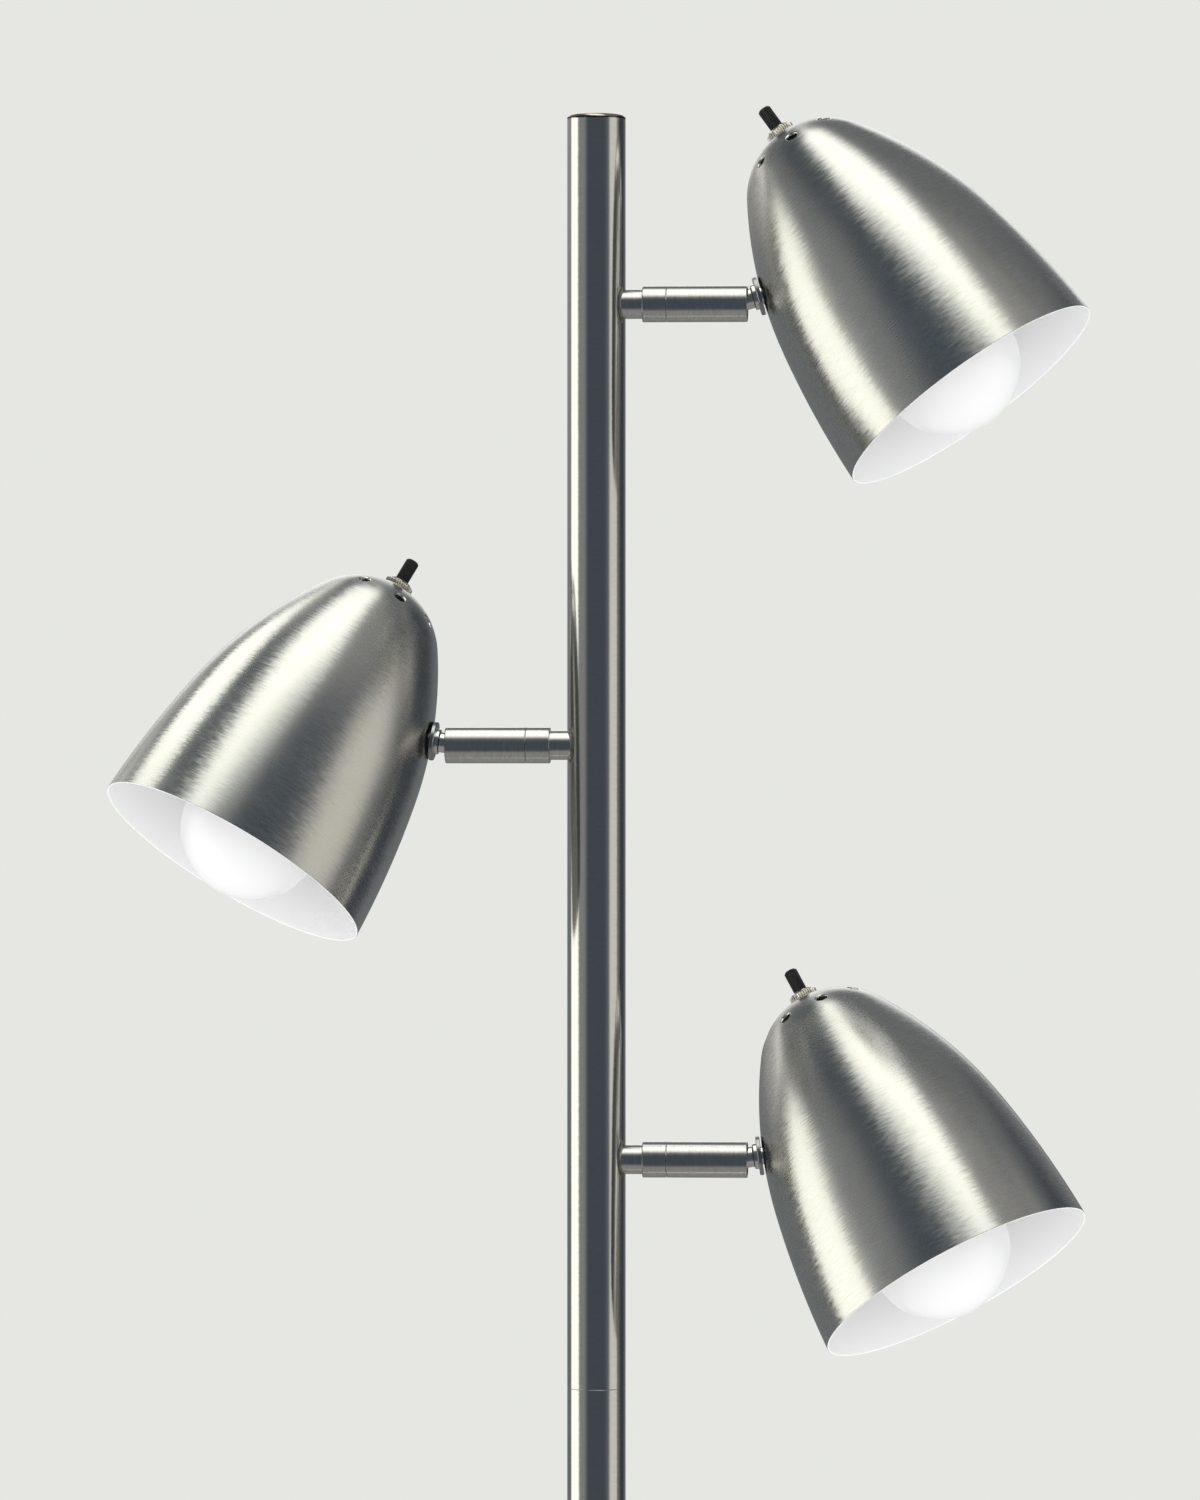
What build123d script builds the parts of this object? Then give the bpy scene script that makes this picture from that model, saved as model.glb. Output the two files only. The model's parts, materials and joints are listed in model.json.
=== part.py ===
from build123d import *
from math import asin, cos, radians, sin, sqrt
import os

# Tree floor lamp: a weighted round base, a pole in three screwed sections, and three
# bell shades. Each shade sits on a short arm that turns in its sleeve and tilts on a
# trunnion ball hidden in the sleeve's mouth, and has a turn switch at its crown.
# Millimetres, +Z up. The origin is the centre of the base's underside, on the floor.
# Arms one and three point along +X and arm two along -X.

# ---------------------------------------------------------------- clearances
fit_gap = 0.05            # radial gap of a plug, nipple or bush in its bore
running_gap = 0.05        # radial gap of a piece that turns on its shaft
seam_gap = 0.15           # gap between faces that turn on each other
free_gap = 0.3            # gap between pieces that pass without touching

# ---------------------------------------------------------------- base
base_d = 254.0
base_rim_height = 18.0    # floor to the top of the cover's rounded edge
base_crown_height = 25.0  # floor to the cover's top under the pole
base_flat_d = 60.0        # level seat in the middle of the cover
cover_wall = 1.0
cover_edge_r = 5.0
pad_thickness = 2.0
pad_inset = 1.5           # pad's edge behind the cover's side
weight_thickness = 11.0
weight_side_gap = 1.0     # between the cast weight and the cover's side wall
nut_recess_d = 40.0
nut_recess_depth = 6.0
cord_channel_width = 9.0
cord_bush_z = 7.5         # height of the cord's way out through the rear of the cover
cord_bush_bore = 6.2
cord_bush_barrel_d = 8.0
cord_bush_flange_d = 10.6
cord_bush_flange = 1.6
cord_bush_barrel = 5.0    # length of the barrel behind the flange

# ---------------------------------------------------------------- pole
pole_d = 25.4
pole_wall = 1.0
lower_pole_length = 520.0
middle_pole_length = 520.0
upper_pole_length = 552.8
coupler_length = 60.0
coupler_wall = 3.0
foot_plug_length = 26.0
cap_thickness = 1.4
cap_edge_r = 0.8
cap_skirt_length = 9.0
cap_skirt_wall = 1.5
collar_height = 14.0      # trim ring round the pole's foot
collar_foot_d = 40.0
collar_top_d = 28.6
collar_lip = 2.0
collar_hollow = 0.29      # share of its taper that the flank keeps at its middle; 0.5 is straight

# ---------------------------------------------------------------- threaded rods and nuts
rod_d = 10.0              # hollow rod in the base
rod_bore = 6.6
rod_reach = 20.0          # length of the rod inside the pole
base_washer_d = 30.0
base_washer_thickness = 1.6
base_nut_width = 17.0
base_nut_height = 3.9

# ---------------------------------------------------------------- arms
arm_drops = (81.1, 273.0, 453.2)   # below the pole's top edge
arm_sides = (1, -1, 1)
arm_rolls = (11.5, 19.15, 17.7)    # turn of each sleeve, shade towards the viewer
head_tilts = (15.9, 8.9, 8.5)      # tilt of each shade, rim away from the pole
nipple_d = 10.0
nipple_bore = 6.6
nipple_spare = 0.8        # thread beyond each nut
round_nut_d = 12.2
round_nut_height = 3.0
stub_d = 12.8
stub_length = 7.4         # pole's surface to the collar
arm_collar_length = 10.6
sleeve_d = 15.8
sleeve_wall = 0.8
sleeve_length = 35.05
sleeve_edge_r = 0.5
bulkhead = 3.0            # sleeve's inner end, which turns on the nipple
friction_washer_thickness = 0.8

# ---------------------------------------------------------------- knuckle
pivot_depth = 7.1         # trunnion axis behind the sleeve's mouth
ball_d = 11.0
insert_back = 6.0         # insert's ends, measured from the trunnion axis
insert_front = 3.6
insert_bore_front = 2.0   # where the insert's bore begins to flare
insert_flare = 0.45
trunnion_d = 2.4
trunnion_depth = 2.2      # length of a pin inside the ball
wire_bore = 4.0
waist_d = 9.0
neck_collar_d = 11.2
neck_collar_start = 9.7   # from the trunnion axis, along the neck
neck_collar_length = 1.8
neck_collar_edge = 0.5
neck_thread_d = 8.0
flange_d = 17.1
flange_thickness = 1.8
flange_bevel = 0.7
gasket_d = 16.6
gasket_thickness = 0.5    # at the neck, where it is thinnest
inner_washer_d = 16.0
inner_washer_thickness = 1.9
neck_nut_width = 13.0
neck_nut_height = 3.5
neck_spare = 1.0

# ---------------------------------------------------------------- shade
shade_length = 144.0      # crown to rim, along the axis
shade_wall = 0.8
crown_r = 35.3            # three tangent arcs: crown, shoulder and skirt
crown_end = 32.7          # wall's angle to the axis where the crown arc ends
shoulder_r = 183.7
shoulder_end = 11.05
skirt_r = 422.0
neck_station = 54.5       # crown to the neck's hole, along the axis
vent_station = 9.1
vent_d = 5.0
vent_count = 8
vent_phases = (0.0, 22.5, -11.0)

# ---------------------------------------------------------------- lampholder and switch
bushing_d = 10.0
bushing_rise = 3.2        # bushing above the crown
bushing_depth = 8.0
ring_nut_d = 12.9
ring_nut_height = 2.6
boss_d = 14.4
switch_body_d = 30.0
switch_body_top = 4.8
cup_d = 37.0
cup_top = 38.0
cup_end = 76.0
cup_cone = 4.0
contact_station = 47.8    # where the lamp's tip contact rests
shell_wall = 0.5
shell_gap = 0.4           # between screw shell and lamp cap
shell_length = 25.0
tab_d = 9.0
tab_thickness = 0.5
knob_d = 6.0
knob_length = 10.6
knob_lift = 0.3           # above the bushing
knob_edge = 0.7
knob_shaft_d = 4.0
knob_shaft_depth = 12.0

# ---------------------------------------------------------------- lamp (light bulb)
bulb_length = 110.0
globe_d = 62.0
globe_wall = 1.2
globe_end = 25.0          # angle behind the equator where the cone begins
bulb_neck_d = 34.0
bulb_skirt_d = 28.0
bulb_skirt_rise = 29.0    # tip contact to the skirt's lower edge
cap_screw_d = 26.2
cap_screw_start = 6.5     # tip contact to the first thread
tip_d = 8.0
tip_height = 2.0

# ---------------------------------------------------------------- derived places
pole_r = pole_d / 2
pole_bore_r = pole_r - pole_wall
pole_foot_z = base_crown_height
lower_joint_z = pole_foot_z + lower_pole_length
upper_joint_z = lower_joint_z + middle_pole_length
pole_top_z = upper_joint_z + upper_pole_length
arm_heights = [pole_top_z - drop for drop in arm_drops]
collar_start = pole_r + stub_length
sleeve_start = collar_start + arm_collar_length + seam_gap
sleeve_end = sleeve_start + sleeve_length
sleeve_bore_r = sleeve_d / 2 - sleeve_wall
bulkhead_end = sleeve_start + bulkhead
sleeve_nut_start = bulkhead_end + seam_gap + friction_washer_thickness
pole_nut_end = sqrt(pole_bore_r ** 2 - (round_nut_d / 2) ** 2)
pivot_reach = sleeve_end - pivot_depth
flange_start = neck_collar_start + neck_collar_length
gasket_start = flange_start + flange_thickness
wall_start = gasket_start + gasket_thickness
washer_end = wall_start + shade_wall + inner_washer_thickness
neck_end = washer_end + neck_nut_height + neck_spare


# ---------------------------------------------------------------- helpers
def rod(radius, start, end):
    """A straight round bar along Z."""
    return Pos(0, 0, start) * Cylinder(radius, end - start, align=(Align.CENTER, Align.CENTER, Align.MIN))


def tube(outer, inner, start, end):
    """A straight round tube along Z."""
    return rod(outer, start, end) - rod(inner, start, end)


def hexagon_nut(width, bore, start, height):
    """A hexagon nut along Z, width across its flats."""
    prism = extrude(RegularPolygon(width / 2, 6, major_radius=False), height)
    return Pos(0, 0, start) * prism - rod(bore, start, start + height)


def turned(*outline):
    """A solid of revolution about Z from (radius, height) corners."""
    return revolve(Plane.XZ * make_face(Polyline(*outline, close=True)), Axis.Z)


def write(name, *solids):
    """One STEP file for each sub-part; a group of pieces is a compound."""
    shape = solids[0] if len(solids) == 1 else Compound(children=list(solids))
    export_step(shape, f"parts/{name}.step")


# ---------------------------------------------------------------- shade outline
def shade_arcs():
    """Centre radius, centre height, arc radius, first and last wall angle of each arc."""
    arcs = []
    centre_r, centre_s, first = 0.0, crown_r, radians(90)
    for radius, next_radius, last in ((crown_r, shoulder_r, radians(crown_end)),
                                      (shoulder_r, skirt_r, radians(shoulder_end))):
        arcs.append((centre_r, centre_s, radius, first, last))
        centre_r -= (next_radius - radius) * cos(last)
        centre_s += (next_radius - radius) * sin(last)
        first = last
    arcs.append((centre_r, centre_s, skirt_r, first, None))
    return arcs


def on_arc(arc, angle, inset):
    """The (radius, station) of a wall angle on an arc moved inwards by inset."""
    centre_r, centre_s, radius = arc[:3]
    return (centre_r + (radius - inset) * cos(angle), centre_s - (radius - inset) * sin(angle))


def angle_at(arc, station, inset):
    return asin((arc[1] - station) / (arc[2] - inset))


def wall_at(station):
    """The outer radius and the wall's angle to the axis at a station from the crown."""
    for arc in shade_arcs():
        if arc[4] is None or station <= on_arc(arc, arc[4], 0)[1]:
            angle = angle_at(arc, station, 0)
            return on_arc(arc, angle, 0)[0], angle


def shade_body(inset):
    """The shade's outline as a solid of revolution, moved inwards by inset."""
    edges = []
    for arc in shade_arcs():
        last = arc[4] if arc[4] is not None else angle_at(arc, shade_length, inset)
        edges.append(ThreePointArc(on_arc(arc, arc[3], inset),
                                   on_arc(arc, (arc[3] + last) / 2, inset),
                                   on_arc(arc, last, inset)))
    rim = edges[-1] @ 1
    edges.append(Polyline(rim, (0, shade_length), edges[0] @ 0))
    return revolve(Plane.XZ * make_face(edges), Axis.Z)


def wall_plane(station, turn):
    """A plane on the shade's outer wall whose normal points out of it."""
    radius, angle = wall_at(station)
    spin = radians(turn)
    normal = (cos(angle) * cos(spin), cos(angle) * sin(spin), -sin(angle))
    return Plane(origin=(radius * cos(spin), radius * sin(spin), station), z_dir=normal)


def hole_through_wall(station, turn, radius):
    return wall_plane(station, turn).location * Cylinder(radius, 8 * shade_wall)


# ---------------------------------------------------------------- base
def base_cover_outline(inset):
    """The cover's outline as a solid of revolution, moved inwards by inset."""
    outer = base_d / 2 - inset
    edge = cover_edge_r - inset
    rim_top = base_rim_height - inset
    crown = base_crown_height - inset
    seat = base_flat_d / 2
    profile = [
        Line((0, pad_thickness), (outer, pad_thickness)),
        Line((outer, pad_thickness), (outer, rim_top - edge)),
        CenterArc((outer - edge, rim_top - edge), edge, 0, 90),
        Line((outer - edge, rim_top), (seat, crown)),
        Line((seat, crown), (0, crown)),
        Line((0, crown), (0, pad_thickness)),
    ]
    return revolve(Plane.XZ * make_face(profile), Axis.Z)


def cord_way(radius, start, end):
    """A bar along +Y at the height of the cord's way out."""
    return Pos(0, 0, cord_bush_z) * Rot(-90, 0, 0) * rod(radius, start, end)


def make_base():
    rear = base_d / 2
    cover = base_cover_outline(0) - base_cover_outline(cover_wall)
    cover -= rod(rod_d / 2 + fit_gap, 0, base_crown_height + 1)
    cover -= cord_way(cord_bush_barrel_d / 2 + fit_gap, rear - 2 * cover_edge_r, rear + 1)
    write("base_cover", cover)

    weight_r = base_d / 2 - cover_wall - weight_side_gap
    weight_top = pad_thickness + weight_thickness
    hub_top = base_crown_height - cover_wall
    weight = rod(weight_r, pad_thickness, weight_top) + rod(base_flat_d / 2, weight_top, hub_top)
    weight -= rod(rod_d / 2 + free_gap, 0, hub_top)
    weight -= rod(nut_recess_d / 2, pad_thickness, pad_thickness + nut_recess_depth)
    channel_top = cord_bush_z + cord_bush_barrel_d / 2 + free_gap
    weight -= Pos(0, 0, pad_thickness) * Box(cord_channel_width, weight_r + 1, channel_top - pad_thickness,
                                             align=(Align.CENTER, Align.MIN, Align.MIN))
    write("base_weight", weight)
    write("base_pad", rod(base_d / 2 - pad_inset, 0, pad_thickness))

    bush = cord_way(cord_bush_flange_d / 2, rear + fit_gap, rear + fit_gap + cord_bush_flange)
    bush += cord_way(cord_bush_barrel_d / 2, rear - cord_bush_barrel, rear + fit_gap)
    bush -= cord_way(cord_bush_bore / 2, rear - cord_bush_barrel, rear + fit_gap + cord_bush_flange)
    write("cord_bushing", bush)

    washer_top = pad_thickness + nut_recess_depth
    nut_top = washer_top - base_washer_thickness
    washer = tube(base_washer_d / 2, rod_d / 2 + fit_gap, nut_top, washer_top)
    nut = hexagon_nut(base_nut_width, rod_d / 2 + fit_gap, nut_top - base_nut_height, base_nut_height)
    write("base_nut", washer, nut)
    write("base_rod", tube(rod_d / 2, rod_bore / 2, pad_thickness + fit_gap, pole_foot_z + rod_reach))

    inner = pole_r + fit_gap
    top = pole_foot_z + collar_height
    foot = (collar_foot_d / 2, pole_foot_z + collar_lip)
    neck = (collar_top_d / 2, top - collar_lip)
    middle = (neck[0] + collar_hollow * (foot[0] - neck[0]), foot[1] + collar_hollow * (neck[1] - foot[1]))
    trim = [
        ThreePointArc(foot, middle, neck),
        Polyline(neck, (neck[0], top), (inner, top), (inner, pole_foot_z), (foot[0], pole_foot_z), foot),
    ]
    write("pole_foot_collar", revolve(Plane.XZ * make_face(trim), Axis.Z))


# ---------------------------------------------------------------- pole
def make_pole():
    write("lower_pole", tube(pole_r, pole_bore_r, pole_foot_z, lower_joint_z))
    write("middle_pole", tube(pole_r, pole_bore_r, lower_joint_z, upper_joint_z))
    upper = tube(pole_r, pole_bore_r, upper_joint_z, pole_top_z)
    for height, side in zip(arm_heights, arm_sides):
        drill = rod(nipple_d / 2 + fit_gap, 0, pole_d)
        upper -= Plane(origin=(0, 0, height), x_dir=(0, 0, 1), z_dir=(side, 0, 0)).location * drill
    write("upper_pole", upper)

    plug_r = pole_bore_r - fit_gap
    couplers = [tube(plug_r, plug_r - coupler_wall, joint - coupler_length / 2, joint + coupler_length / 2)
                for joint in (lower_joint_z, upper_joint_z)]
    write("pole_couplers", *couplers)
    write("pole_foot_plug", tube(plug_r, rod_d / 2 + fit_gap, pole_foot_z, pole_foot_z + foot_plug_length))

    cap = rod(pole_r, pole_top_z, pole_top_z + cap_thickness)
    cap = fillet(cap.edges().group_by(Axis.Z)[-1], cap_edge_r)
    cap += tube(plug_r, plug_r - cap_skirt_wall, pole_top_z - cap_skirt_length, pole_top_z)
    write("pole_cap", cap)


# ---------------------------------------------------------------- fixed part of the arms
def arm_location(index):
    """Z runs out along the arm and X is up when the sleeve isn't rolled."""
    roll = radians(arm_rolls[index])
    up = (0, sin(roll), cos(roll))
    return Plane(origin=(0, 0, arm_heights[index]), x_dir=up, z_dir=(arm_sides[index], 0, 0)).location


def make_arm_roots():
    bore = nipple_d / 2 + fit_gap
    pole_bar = Rot(0, 90, 0) * Cylinder(pole_r, 2 * pole_d)
    nipple = tube(nipple_d / 2, nipple_bore / 2, pole_nut_end - round_nut_height - nipple_spare,
                  sleeve_nut_start + round_nut_height + nipple_spare)
    stub = tube(stub_d / 2, bore, 0, collar_start) - pole_bar
    collar = tube(sleeve_d / 2, bore, collar_start, collar_start + arm_collar_length)
    collar = chamfer(collar.edges().group_by(Axis.Z)[0].sort_by(Edge.length)[-1], sleeve_edge_r)
    washer = tube(round_nut_d / 2, bore, bulkhead_end + seam_gap, sleeve_nut_start)
    pole_nut = tube(round_nut_d / 2, bore, pole_nut_end - round_nut_height, pole_nut_end)
    sleeve_nut = tube(round_nut_d / 2, bore, sleeve_nut_start, sleeve_nut_start + round_nut_height)

    places = [Plane(origin=(0, 0, height), x_dir=(0, 0, 1), z_dir=(side, 0, 0)).location
              for height, side in zip(arm_heights, arm_sides)]
    write("arm_nipples", *[place * nipple for place in places])
    write("arm_stubs", *[place * stub for place in places])
    write("arm_collars", *[place * collar for place in places])
    write("friction_washers", *[place * washer for place in places])
    write("nipple_nuts", *[place * nut for place in places for nut in (pole_nut, sleeve_nut)])


# ---------------------------------------------------------------- turning sleeves
def trunnion_bar(radius, start, end):
    """Two short bars along Y, one each side of the trunnion axis's middle."""
    bar = Rot(-90, 0, 0) * rod(radius, start, end)
    return bar + Rot(0, 0, 180) * bar


def make_sleeve_parts():
    sleeve = tube(sleeve_d / 2, sleeve_bore_r, bulkhead_end, sleeve_end)
    sleeve = sleeve + tube(sleeve_d / 2, nipple_d / 2 + running_gap, sleeve_start, bulkhead_end)
    rings = sleeve.edges().filter_by(GeomType.CIRCLE).group_by(Axis.Z)[-1].sort_by(Edge.length)
    sleeve = fillet(rings[-1], sleeve_edge_r)

    outer = sleeve_bore_r - fit_gap
    inner = ball_d / 2 + free_gap
    insert = turned((inner, -insert_back), (outer, -insert_back), (outer, insert_front),
                    (inner + insert_flare, insert_front), (inner, insert_bore_front))
    insert -= trunnion_bar(trunnion_d / 2 + fit_gap / 2, 0, outer + 1)
    pins = trunnion_bar(trunnion_d / 2, ball_d / 2 - trunnion_depth, outer - fit_gap)
    at_pivot = Pos(0, 0, pivot_reach)
    return sleeve, at_pivot * insert, [at_pivot * pin for pin in pins.solids()]


# ---------------------------------------------------------------- neck and its fasteners
def shade_in_head():
    """The shade's frame, crown at its origin and rim along its Z, in the neck's frame."""
    angle = wall_at(neck_station)[1]
    towards_crown = (sin(angle), 0, -cos(angle))
    hole = wall_plane(neck_station, 180)
    trunnion = hole.origin + hole.z_dir * wall_start
    return Plane(origin=trunnion, x_dir=towards_crown, z_dir=-hole.z_dir).location.inverse()


def make_neck_parts(outer_body, inner_body):
    neck = Sphere(ball_d / 2) + rod(waist_d / 2, 0, neck_collar_start)
    collar = rod(neck_collar_d / 2, neck_collar_start, flange_start)
    neck += fillet(collar.edges().group_by(Axis.Z)[0], neck_collar_edge)
    neck += rod(neck_thread_d / 2, flange_start, neck_end)
    neck -= rod(wire_bore / 2, -ball_d, neck_end)
    neck -= trunnion_bar(trunnion_d / 2 + running_gap, ball_d / 2 - trunnion_depth - running_gap, ball_d)

    bore = neck_thread_d / 2 + fit_gap
    flange = tube(flange_d / 2, bore, flange_start, gasket_start)
    flange = chamfer(flange.edges().group_by(Axis.Z)[0].sort_by(Edge.length)[-1], flange_bevel)
    gasket = tube(gasket_d / 2, bore, gasket_start, wall_start + gasket_d / 4) - outer_body
    washer = tube(inner_washer_d / 2, bore, wall_start, washer_end) & inner_body
    nut = hexagon_nut(neck_nut_width, bore, washer_end, neck_nut_height)
    return neck, flange, gasket, washer, nut


# ---------------------------------------------------------------- lampholder, switch and lamp
def make_holder_parts(inner_body):
    bush_bore = knob_shaft_d / 2 + running_gap
    bushing = tube(bushing_d / 2, bush_bore, -bushing_rise, bushing_depth)
    nut_seat = crown_r - sqrt(crown_r ** 2 - (bushing_d / 2) ** 2)
    ring_nut = tube(ring_nut_d / 2, bushing_d / 2 + fit_gap, nut_seat - ring_nut_height, nut_seat)

    shell_r = cap_screw_d / 2 + shell_gap + shell_wall
    boss = rod(boss_d / 2, 0, switch_body_top + 1) & inner_body
    holder = boss + rod(switch_body_d / 2, switch_body_top, cup_top)
    holder += turned((0, cup_top), (switch_body_d / 2, cup_top), (cup_d / 2, cup_top + cup_cone),
                     (cup_d / 2, cup_end), (0, cup_end))
    holder -= rod(bushing_d / 2 + fit_gap, 0, bushing_depth + fit_gap)
    holder -= rod(bush_bore, 0, knob_shaft_depth + free_gap)
    holder -= rod(shell_r + fit_gap, contact_station - tab_thickness, cup_end)

    shell_end = cup_end - 1
    shell = tube(shell_r, shell_r - shell_wall, shell_end - shell_length, shell_end)
    tab = rod(tab_d / 2, contact_station - tab_thickness, contact_station)

    knob_start = -bushing_rise - knob_lift
    knob = rod(knob_d / 2, knob_start - knob_length, knob_start)
    knob = chamfer(knob.edges().group_by(Axis.Z)[0], knob_edge)
    knob += rod(knob_shaft_d / 2, knob_start, knob_shaft_depth)
    return bushing, ring_nut, holder, (shell, tab), knob


def make_bulb():
    """A hollow diffuser and the solid body with its screw cap, tip contact down."""
    globe_r = globe_d / 2
    centre = contact_station + bulb_length - globe_r
    last = radians(globe_end)

    def globe_line(inset):
        """Half the globe from its tip to the cone, then along the cone to the neck."""
        radius = globe_r - inset
        join = (radius * cos(last), centre - radius * sin(last))
        reach = (globe_r * cos(last) - bulb_neck_d / 2) / sin(last)
        foot = (join[0] - reach * sin(last), join[1] - reach * cos(last))
        middle = (90 - globe_end) / 2
        return join, foot, (radius * cos(radians(middle)), centre + radius * sin(radians(middle)))

    shells = []
    for inset in (0, globe_wall):
        join, foot, middle = globe_line(inset)
        tip = (0, centre + globe_r - inset)
        profile = [ThreePointArc(tip, middle, join), Line(join, foot),
                   Polyline(foot, (0, foot[1]), tip)]
        shells.append(revolve(Plane.XZ * make_face(profile), Axis.Z))
    join, foot, middle = globe_line(0)
    joint = foot[1] + globe_wall
    diffuser = shells[0] - shells[1] - rod(globe_r, 0, joint)
    neck_r = bulb_neck_d / 2 - globe_wall
    screw_top = contact_station + bulb_skirt_rise
    body = turned((0, contact_station), (tip_d / 2, contact_station), (tip_d / 2, contact_station + tip_height),
                  (cap_screw_d / 2, contact_station + cap_screw_start), (cap_screw_d / 2, screw_top),
                  (bulb_skirt_d / 2, screw_top), (neck_r, joint), (0, joint))
    return diffuser, body


# ---------------------------------------------------------------- assembly
def make_heads():
    sleeve, insert, pins = make_sleeve_parts()
    outer_body, inner_body = shade_body(0), shade_body(shade_wall)
    shade_place = shade_in_head()
    neck, flange, gasket, washer, nut = make_neck_parts(shade_place * outer_body, shade_place * inner_body)
    bushing, ring_nut, holder, contacts, knob = make_holder_parts(inner_body)
    bulb = make_bulb()

    shell = outer_body - inner_body
    shell -= rod(bushing_d / 2 + fit_gap, -1, crown_r / 2)
    shell -= hole_through_wall(neck_station, 180, neck_thread_d / 2 + fit_gap)

    for index, phase in enumerate(vent_phases):
        shade = shell
        for step in range(vent_count):
            turn = 180 + phase + 360 * step / vent_count
            shade -= hole_through_wall(vent_station, turn, vent_d / 2)

        number = index + 1
        arm = arm_location(index)
        head = arm * Pos(0, 0, pivot_reach) * Rot(0, head_tilts[index], 0)
        place = head * shade_place
        write(f"arm_sleeve_{number}", arm * sleeve)
        write(f"knuckle_insert_{number}", arm * insert)
        write(f"knuckle_pins_{number}", *[arm * pin for pin in pins])
        write(f"shade_neck_{number}", head * neck)
        write(f"neck_flange_{number}", head * flange)
        write(f"neck_gasket_{number}", head * gasket)
        write(f"neck_nut_{number}", head * washer, head * nut)
        write(f"shade_{number}", place * shade)
        write(f"lampholder_{number}", place * holder)
        write(f"switch_bushing_{number}", place * bushing)
        write(f"socket_contacts_{number}", *[place * piece for piece in contacts])
        write(f"ring_nut_{number}", place * ring_nut)
        write(f"bulb_{number}", *[place * piece for piece in bulb])
        write(f"switch_knob_{number}", place * knob)


os.makedirs("parts", exist_ok=True)
make_base()
make_pole()
make_arm_roots()
make_heads()
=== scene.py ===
import json
import math

import bpy
from mathutils import Matrix, Vector

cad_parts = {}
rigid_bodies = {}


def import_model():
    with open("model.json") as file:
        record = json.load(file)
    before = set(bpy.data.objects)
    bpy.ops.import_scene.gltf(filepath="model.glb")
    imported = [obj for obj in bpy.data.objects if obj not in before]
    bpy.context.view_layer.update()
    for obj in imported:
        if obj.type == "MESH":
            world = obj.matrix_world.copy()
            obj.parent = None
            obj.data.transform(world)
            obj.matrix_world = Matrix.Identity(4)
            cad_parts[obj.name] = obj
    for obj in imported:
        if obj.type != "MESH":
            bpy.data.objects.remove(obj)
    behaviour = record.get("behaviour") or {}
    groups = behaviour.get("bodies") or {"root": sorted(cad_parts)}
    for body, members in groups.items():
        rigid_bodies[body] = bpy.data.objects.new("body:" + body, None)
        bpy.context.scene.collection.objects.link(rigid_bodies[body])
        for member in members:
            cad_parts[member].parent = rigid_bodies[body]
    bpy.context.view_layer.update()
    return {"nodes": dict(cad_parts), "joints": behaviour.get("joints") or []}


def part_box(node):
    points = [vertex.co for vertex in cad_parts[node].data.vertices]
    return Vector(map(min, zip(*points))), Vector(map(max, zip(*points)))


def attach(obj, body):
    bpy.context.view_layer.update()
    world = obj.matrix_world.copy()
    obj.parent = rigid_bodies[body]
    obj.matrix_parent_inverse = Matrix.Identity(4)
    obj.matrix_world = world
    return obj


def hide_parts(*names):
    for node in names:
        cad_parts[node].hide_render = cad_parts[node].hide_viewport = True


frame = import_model()

# The looks of a tree floor lamp: turned, brushed and knurled metal round a pole, three bell
# shades with white insides, opal lamps and black switch knobs, and the studio they reflect.
# Meshes are drawn in millimetres in each piece's own frame, with Z along its axis.

nodes = frame["nodes"]
joints = {joint["name"]: joint for joint in frame["joints"]}
MM = 0.001
HEADS = (1, 2, 3)

# ---------------- sizes in millimetres
SEAT_GAP = 0.05           # between pieces that sit on or in each other
HAIR_EDGE = 0.1           # edge radii of turned pieces
CRISP_EDGE = 0.15
FINE_EDGE = 0.2
EASED_EDGE = 0.3
BROKEN_EDGE = 0.4
SOFT_EDGE = 0.5
ROUND_EDGE = 0.6
FULL_EDGE = 0.8

BASE_R = 127.0
COVER_RIM = 18.0          # floor to the top of the cover's rounded edge
COVER_TOP = 25.0          # floor to the level seat under the pole
COVER_SEAT_R = 30.0
COVER_WALL = 1.0
COVER_EDGE = 5.0
COVER_TURN = 14.0         # soft turn from the slope to the seat
PAD_R = 125.5
FOOT_R = 20.0             # trim ring round the pole's foot
FOOT_TOP_R = 14.3
FOOT_HEIGHT = 14.0
FOOT_LIP = 2.0            # straight part at its foot and at its top
FOOT_HOLLOW = 0.29        # share of its taper that the flank keeps at its middle
INLET_HEIGHT = 7.5        # the cord's way in, through the rear of the cover
INLET_BORE_R = 3.1
INLET_BARREL_R = 4.0
INLET_BARREL = 5.0
INLET_FLANGE_R = 5.3
INLET_FLANGE = 1.6

POLE_R = 12.7
POLE_WALL = 1.0
SEAM_EDGE = 0.22          # rounded ends of the pole sections, which make the seam
CAP_EDGE = 2.0            # the cap's dome starts at the tube's outside
CAP_SKIRT = 9.0
CAP_PLUG_R = 11.65
CAP_PLUG_WALL = 1.5

NIPPLE_R = 5.05
STUB_R = 6.4
SLEEVE_R = 7.9
SLEEVE_BORE_R = 7.1
BULKHEAD = 3.0
COLLAR_LENGTH = 10.75     # with the line between it and the sleeve
SLEEVE_EDGE = 0.5
TURN_SEAM = 0.35          # the line between collar and sleeve
TURN_SEAM_EDGE = 0.06
MOUTH_EDGE = 0.12

BALL_R = 5.5
WIRE_R = 2.0
WAIST_R = 4.5
WAIST_EDGE = 0.35
NECK_THREAD_R = 4.0
NECK_COLLAR_R = 5.6
NECK_COLLAR_START = 9.7   # from the trunnion axis, along the neck
NECK_COLLAR_EDGE = 0.5
FLANGE_START = 11.5
FLANGE_R = 8.55
FLANGE_BEVEL = 0.35
GASKET_START = 13.3
GASKET_R = 8.3
GASKET_TRIES = 30         # halvings that find the shade's wall
NECK_END = 21.0
NECK_TO_WALL = math.radians(19.385)   # angle of the neck to a line square to the shade's axis

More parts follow.
